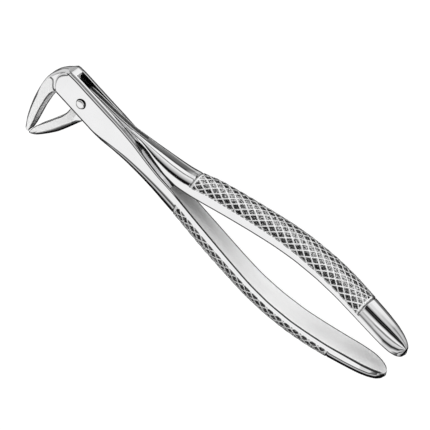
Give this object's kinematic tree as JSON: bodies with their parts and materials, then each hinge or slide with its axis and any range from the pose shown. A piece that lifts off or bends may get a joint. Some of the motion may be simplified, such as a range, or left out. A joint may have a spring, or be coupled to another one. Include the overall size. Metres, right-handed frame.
{
  "type": "extraction forceps",
  "caption": "Hawk-bill tooth extraction forceps for lower roots: two forged steel halves with curved handles, crossing in a box joint on a rivet, and beaks at right angles to the handles.",
  "frame": {"origin": "on the rivet's axis, at the middle of the rivet's flat lower end", "axes": "+Z along the rivet, out of the joint's upper cheek; +X from the rivet along the middle of the two handles; +Y toward the inner half's handle, with the beaks pointing to -Y"},
  "size_m": [0.1851, 0.0481, 0.0137],
  "materials": {
    "outer_half_steel": "mirror-polished stainless steel, satin on the handle's flat inner side",
    "inner_half_steel": "mirror-polished stainless steel, satin on the handle's flat inner side",
    "rivet_steel": "mirror-polished stainless steel"
  },
  "bodies": {
    "outer": {"outer_half": "outer_half_steel", "pivot_rivet": "rivet_steel"},
    "inner": {"inner_half": "inner_half_steel"}
  },
  "joints": [
    {"name": "box_joint", "type": "hinge", "parent": "outer", "child": "inner", "pos_m": [0, 0, 0.0053], "axis": [0, 0, 1], "range_deg": [0, 30]}
  ]
}
